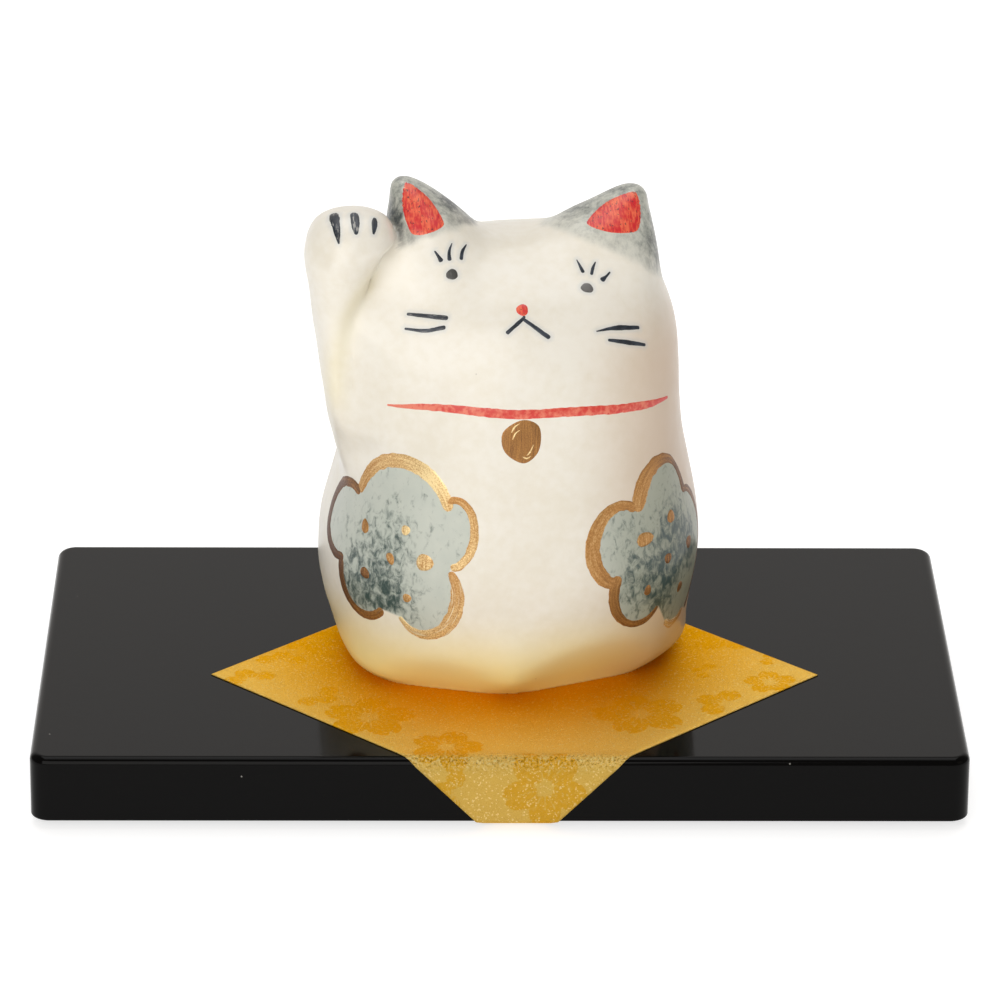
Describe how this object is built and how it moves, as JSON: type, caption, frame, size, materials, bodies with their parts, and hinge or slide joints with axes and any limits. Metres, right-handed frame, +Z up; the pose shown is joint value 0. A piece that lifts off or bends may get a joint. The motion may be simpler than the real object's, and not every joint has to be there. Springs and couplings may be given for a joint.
{
  "type": "beckoning cat figurine",
  "caption": "Hollow glazed ceramic beckoning cat with one paw raised, standing on a folded gold cloth mat over a black lacquered display board.",
  "frame": {"origin": "under the middle of the display board, on the plane its feet stand on", "axes": "+X along the board to the viewer's right, +Y to the back, +Z up"},
  "size_m": [0.16, 0.094, 0.0999],
  "materials": {
    "glazed_body": "cream clay body under a satin clear glaze, with painted decoration",
    "bare_clay": "unglazed fired clay, matte",
    "gold_cloth": "gold brocade-like cloth with a soft metallic sheen and a tone-on-tone flower pattern",
    "black_lacquer": "glossy black lacquer over wood",
    "foot_rubber": "matte black rubber"
  },
  "bodies": {
    "board_and_mat": {"display_board": "black_lacquer", "foot_front_left": "foot_rubber", "foot_front_right": "foot_rubber", "foot_rear_left": "foot_rubber", "foot_rear_right": "foot_rubber", "cloth_mat": "gold_cloth"},
    "figurine": {"body_front_shell": "glazed_body", "body_rear_shell": "glazed_body", "base_disc": "bare_clay", "raised_arm": "glazed_body", "bobtail": "glazed_body"}
  },
  "joints": [
    {"name": "figurine_lift", "type": "slide", "parent": "board_and_mat", "child": "figurine", "axis": [0, 0, 1], "range_m": [0, 0.1]}
  ]
}
